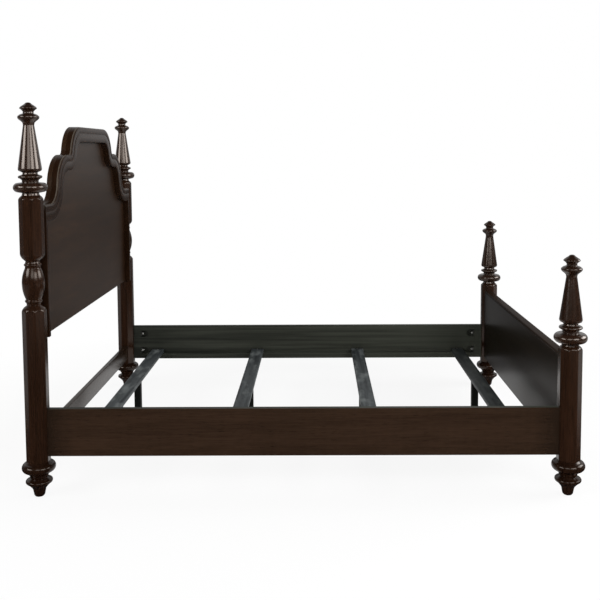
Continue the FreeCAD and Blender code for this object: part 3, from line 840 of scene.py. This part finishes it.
floor_mesh = bpy.data.meshes.new("floor")
floor_mesh.from_pydata(level_points(corner_signs * floor_half, floor_z), [], [(0, 1, 2, 3)])
floor_object = bpy.data.objects.new("floor", floor_mesh)
bpy.context.collection.objects.link(floor_object)
floor_material, tree, shader = new_material("studio_floor")
shader.inputs["Base Color"].default_value = floor_white
shader.inputs["Roughness"].default_value = floor_roughness
shader.inputs["Specular IOR Level"].default_value = 0.0
spot = wired(tree, "TexCoord").outputs["Object"]
far = wired(tree, "VectorMath", {0: spot}, operation="LENGTH").outputs["Value"]
faded = ranged(tree, far, fade_start, fade_end, 1.0 - shadow_share, 1.0)
white = wired(tree, "Math", {0: faded, 1: background_seen(tree)}, operation="MULTIPLY").outputs[0]
glow = wired(tree, "Emission", {"Color": plain_white, "Strength": 1.0})
mix = wired(tree, "MixShader", {0: white, 1: shader.outputs[0], 2: glow.outputs[0]})
tree.links.new(mix.outputs[0], tree.nodes["Material Output"].inputs["Surface"])
floor_mesh.materials.append(floor_material)

# Studio light: a dim room whose background shows white, and soft boxes in front, at the sides and
# overhead.
room_strength = 0.22
world = bpy.data.worlds.new("studio")
bpy.context.scene.world = world
world.use_nodes = True
tree = world.node_tree
backdrop = tree.nodes["Background"]
strength = wired(tree, "Mix", {0: background_seen(tree), 2: room_strength, 3: 1.0})
tree.links.new(strength.outputs[0], backdrop.inputs["Strength"])
backdrop.inputs["Color"].default_value = plain_white


def soft_box(name, place, width, height, radiance, aim=(0.0, 0.0, 0.8)):
    """Area lamp of that radiance at place, facing aim."""
    away = np.array(place) - np.array(aim)
    away = away / np.linalg.norm(away)
    right = np.cross((0.0, 0.0, 1.0), away)
    right = right / np.linalg.norm(right)
    lamp = bpy.data.lights.new(name, "AREA")
    lamp.shape = "RECTANGLE"
    lamp.size, lamp.size_y = width, height
    lamp.energy = radiance * width * height * math.pi
    turn = Matrix(np.stack([right, np.cross(away, right), away], axis=1).tolist())
    box = bpy.data.objects.new(name, lamp)
    box.matrix_world = Matrix.Translation(place) @ turn.to_4x4()
    bpy.context.collection.objects.link(box)
    return box


soft_box("far_left", (-5.1, -3.7, 2.9), width=3.2, height=1.8, radiance=9.5)
soft_box("front", (-0.4, -4.7, 2.6), width=2.2, height=1.7, radiance=3.9)
soft_box("front_right", (2.7, -4.2, 2.6), width=2.5, height=1.7, radiance=7.8)
soft_box("right", (4.5, -0.2, 2.5), width=3.0, height=1.7, radiance=9.6)
overhead = soft_box("overhead", (0.0, 0.3, 4.5), width=3.0, height=3.0, radiance=1.2)
overhead.visible_glossy = False

# Painted reflections: glowing planes shaped as a curtain round the set, a canopy over it and a
# sheet on the floor round the bed. They show only where the lacquer mirrors them.
curtain_radius = 6.6
curtain_columns = 96
curtain_height = 10.0
curtain_front, curtain_back = 0.03, 0.10
behind_from = curtain_radius * 0.5
band_rise, band_strength = (0.8, 1.7), 0.62
band_fall, band_loss = (1.9, 2.4), 0.08
canopy_strength = 0.05
sheet_half = 6.5
sheet_z = -0.0002
sheet_opening = ((-1.02, -0.80), (1.02, -0.80), (1.02, 0.96), (-1.02, 1.40))
sheet_strength = 0.03
left_fade, left_strength = (-2.6, -1.8), 0.36
right_fade, right_strength = (1.6, 2.6), 0.60
back_fade, back_strength = (0.2, 1.6), 0.20


def reflection_glow(name, points, faces, strength):
    """A glowing plane that only mirrored rays see: a painted reflection whose strength comes from
    its place.
    """
    mesh = bpy.data.meshes.new(name)
    mesh.from_pydata(points, [], faces)
    material, tree, shader = new_material(name)
    glow = wired(tree, "Emission", {"Color": plain_white, "Strength": strength(tree)})
    tree.links.new(glow.outputs[0], tree.nodes["Material Output"].inputs["Surface"])
    mesh.materials.append(material)
    cloth = bpy.data.objects.new(name, mesh)
    bpy.context.collection.objects.link(cloth)
    cloth.visible_camera = cloth.visible_diffuse = cloth.visible_transmission = False
    cloth.visible_shadow = cloth.visible_volume_scatter = False


def curtain_glow(tree):
    """Dim glow, with a brighter band behind the bed from about its panel's height: a painted
    reflection.
    """
    place = wired(tree, "SeparateXYZ", {0: wired(tree, "TexCoord").outputs["Object"]}).outputs
    behind = ranged(tree, place["Y"], 0.0, behind_from, 0.0, 1.0)
    band = wired(tree, "Math", {0: ranged(tree, place["Z"], *band_rise, 0.0, band_strength),
                                1: ranged(tree, place["Z"], *band_fall, 0.0, band_loss)},
                 operation="SUBTRACT")
    paler = wired(tree, "Math", {0: behind, 1: band.outputs[0]}, operation="MULTIPLY")
    all_over = ranged(tree, place["Y"], -curtain_radius, behind_from, curtain_front, curtain_back)
    return wired(tree, "Math", {0: paler.outputs[0], 1: all_over}, operation="ADD").outputs[0]


def canopy_glow(tree):
    """A dim painted reflection all over."""
    return canopy_strength


def sheet_glow(tree):
    """A painted reflection: dim in front, brighter far out beside the bed and behind it."""
    place = wired(tree, "SeparateXYZ", {0: wired(tree, "TexCoord").outputs["Object"]}).outputs
    beside = larger(tree, ranged(tree, place["X"], *left_fade, left_strength, sheet_strength),
                    ranged(tree, place["X"], *right_fade, sheet_strength, right_strength))
    behind = ranged(tree, place["Y"], *back_fade, 0.0, back_strength)
    return wired(tree, "Math", {0: beside, 1: behind}, operation="ADD").outputs[0]


around = np.linspace(0, 2 * np.pi, curtain_columns, endpoint=False)
curtain = turned_rows([curtain_radius] * 2, [0.0, curtain_height], (0.0, 0.0), around)
index = np.arange(2 * curtain_columns).reshape(2, -1)
beside = np.roll(index, -1, axis=1)
reflection_glow("curtain", curtain.reshape(-1, 3).tolist(),
           np.stack([index[0], index[1], beside[1], beside[0]], axis=-1).tolist(), curtain_glow)
reflection_glow("canopy", curtain[1].tolist(), [list(range(curtain_columns))], canopy_glow)
sheet = level_points(np.concatenate([corner_signs * sheet_half, sheet_opening]), sheet_z)
sheet_faces = [(k, (k + 1) % 4, (k + 1) % 4 + 4, k + 4) for k in range(4)]
reflection_glow("floor_sheet", sheet, sheet_faces, sheet_glow)

# Camera: at the photograph's place, in front of the bed's left side. Its lens and the photograph's
# centre were solved from the bed's edges.
lens_pixels = 818.19
frame_pixels = 600
centre_pixels = (312.89, 211.83)
camera_place = (0.0603, -4.0609, 1.4157)
yaw, pitch, roll = math.radians(0.27), math.radians(4.32), math.radians(0.268)
view_camera = bpy.data.cameras.new("camera")
view_camera.sensor_width = 36.0
view_camera.lens = lens_pixels / frame_pixels * view_camera.sensor_width
view_camera.shift_x = 0.5 - centre_pixels[0] / frame_pixels
view_camera.shift_y = centre_pixels[1] / frame_pixels - 0.5
view_camera.clip_end = 100.0
camera_object = bpy.data.objects.new("camera", view_camera)
camera_object.matrix_world = (
    Matrix.Translation(camera_place) @ Matrix.Rotation(yaw, 4, "Z")
    @ Matrix.Rotation(math.pi / 2 - pitch, 4, "X") @ Matrix.Rotation(-roll, 4, "Z"))
bpy.context.collection.objects.link(camera_object)
bpy.context.scene.camera = camera_object
bpy.context.scene.view_settings.view_transform = "Standard"
